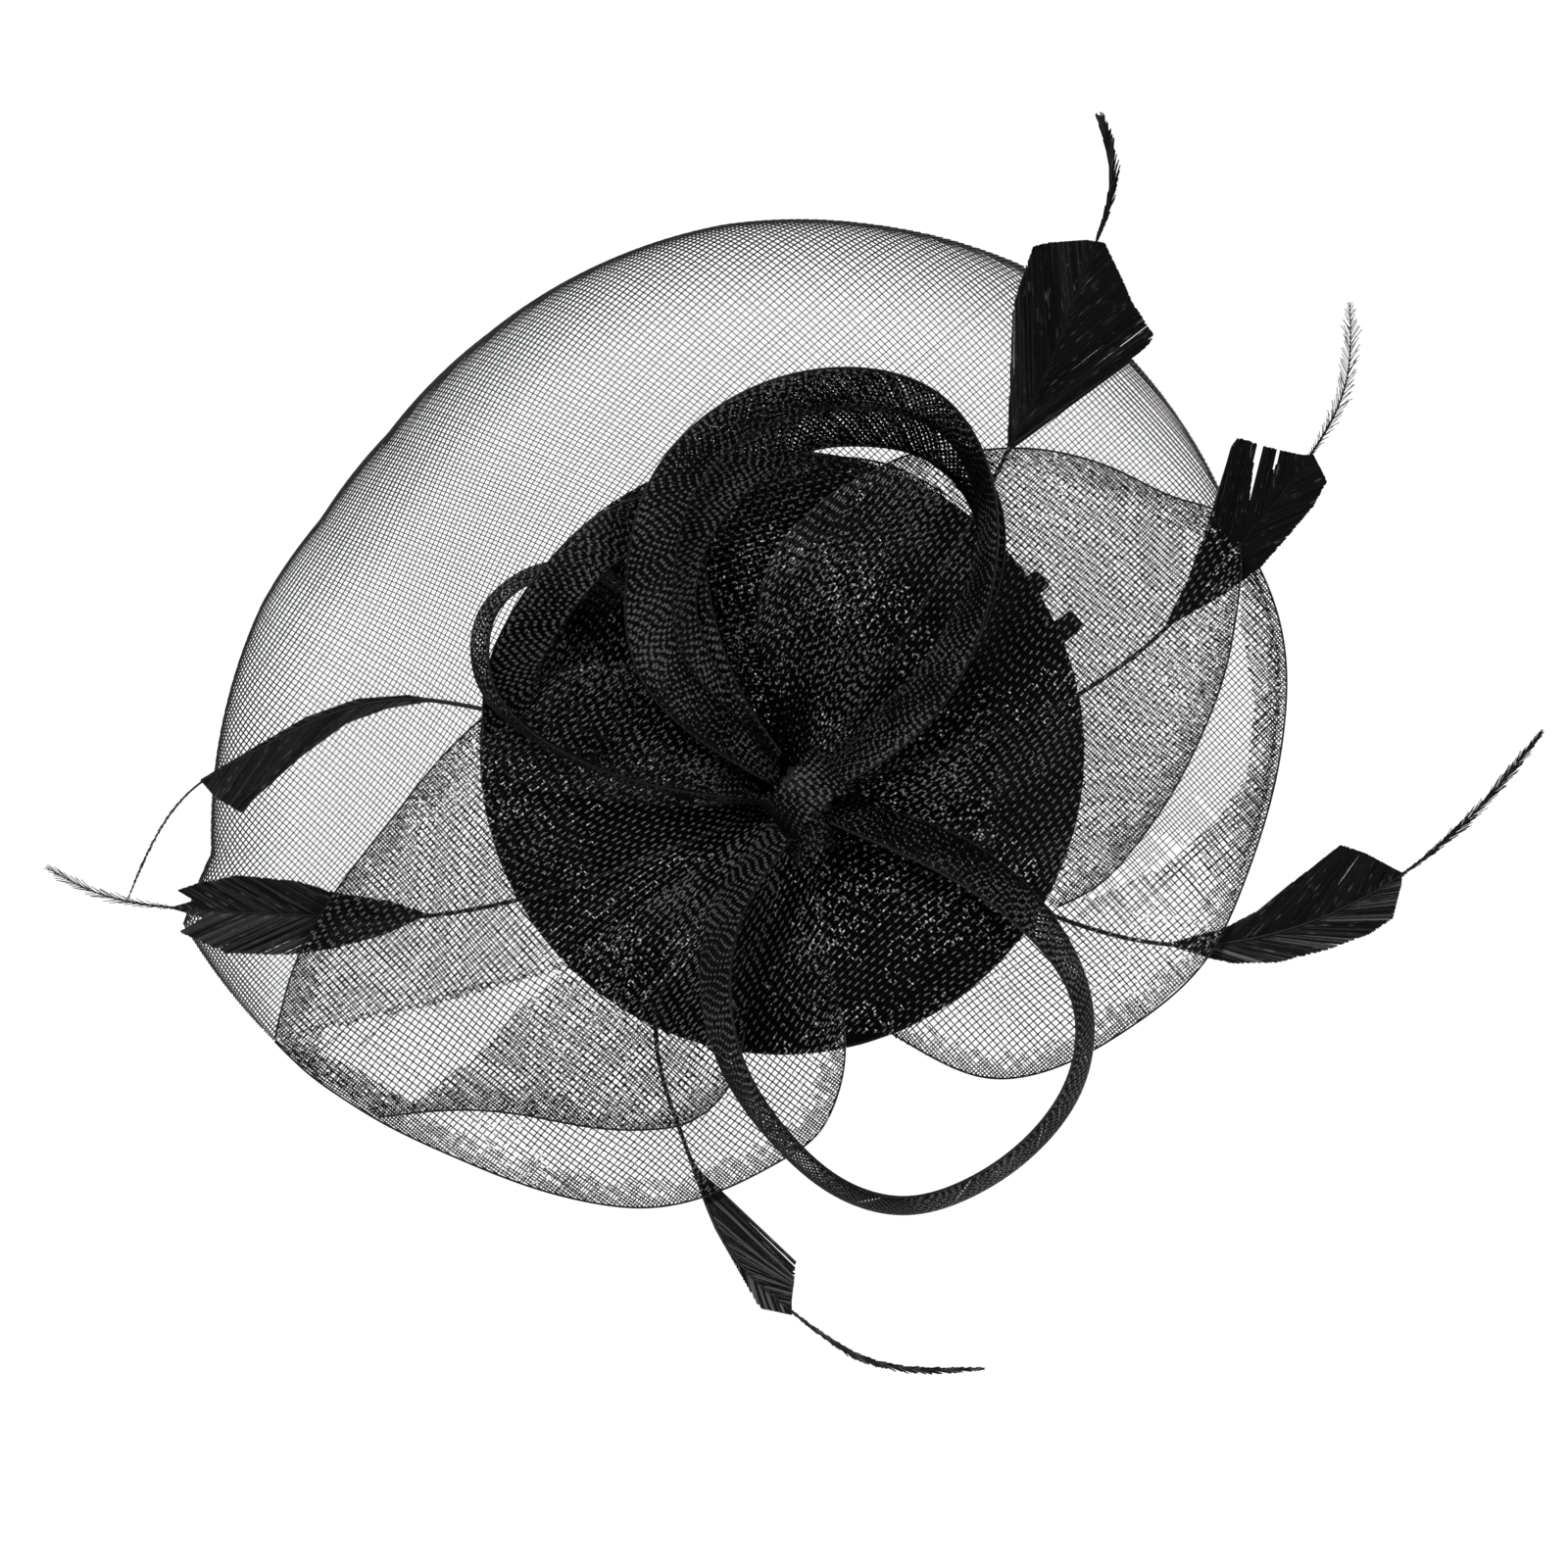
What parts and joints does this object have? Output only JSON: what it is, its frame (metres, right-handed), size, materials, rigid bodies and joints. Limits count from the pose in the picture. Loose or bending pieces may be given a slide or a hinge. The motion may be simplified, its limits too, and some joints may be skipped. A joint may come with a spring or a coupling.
{
  "type": "fascinator headpiece",
  "caption": "Black fascinator: a covered disc base on a sprung forked hair clip, dressed with curled net, wide crin petals, ribbon loops and trimmed feathers.",
  "frame": {"origin": "centre of the flat lining on the underside of the disc base, where it meets the head", "axes": "+Z out of the front of the base, away from the head; +X to the right and +Y to the top as the front is looked at"},
  "size_m": [0.3084, 0.2579, 0.0713],
  "materials": {
    "cover_fabric": "matt black woven satin-faced fabric",
    "buckram": "stiffened black buckram",
    "lining_fabric": "plain black woven lining",
    "felt": "black felt",
    "millinery_wire": "drawn wire",
    "clip_steel": "black lacquered steel, satin",
    "spring_steel": "drawn spring steel",
    "thread": "black sewing thread",
    "veil_nylon": "fine black nylon diamond net",
    "crin_petal_nylon": "braided black nylon crin, slight sheen",
    "crin_ribbon_nylon": "narrow tubular black crin, slight sheen",
    "quill": "dyed black feather quill, satin",
    "feather_vane": "dyed black goose feather, soft sheen"
  },
  "bodies": {
    "headpiece": {"base_cover": "cover_fabric", "base_form": "buckram", "base_lining": "lining_fabric", "base_rim_wire": "millinery_wire", "clip_hinge_pin": "clip_steel", "clip_plate": "clip_steel", "clip_spring": "spring_steel", "clip_stitches": "thread", "crin_loop_bottom": "crin_ribbon_nylon", "crin_loop_small": "crin_ribbon_nylon", "crin_loop_top": "crin_ribbon_nylon", "crin_petal_bottom": "crin_petal_nylon", "crin_petal_left": "crin_petal_nylon", "crin_petal_lower_left": "crin_petal_nylon", "crin_petal_lower_right": "crin_petal_nylon", "crin_petal_right": "crin_petal_nylon", "crin_petal_top": "crin_petal_nylon", "crin_petal_upper_left": "crin_petal_nylon", "feather_bottom_quill": "quill", "feather_bottom_vane": "feather_vane", "feather_lower_left_quill": "quill", "feather_lower_left_vane": "feather_vane", "feather_right_quill": "quill", "feather_right_vane": "feather_vane", "feather_top_quill": "quill", "feather_top_vane": "feather_vane", "feather_upper_left_quill": "quill", "feather_upper_left_vane": "feather_vane", "feather_upper_right_quill": "quill", "feather_upper_right_vane": "feather_vane", "felt_patch": "felt", "knot_core": "crin_ribbon_nylon", "knot_filling": "crin_ribbon_nylon", "knot_wrap": "crin_ribbon_nylon", "veil_net": "veil_nylon"},
    "lever": {"clip_lever": "clip_steel"}
  },
  "joints": [
    {"name": "clip_hinge", "type": "hinge", "parent": "headpiece", "child": "lever", "pos_m": [0.033, 0.0115, -0.0045], "axis": [-0.6428, 0.766, 0], "range_deg": [0, 28], "stiffness_Nm_per_rad": 0.12, "springref_deg": -22.92, "deforming": ["clip_spring"]}
  ]
}
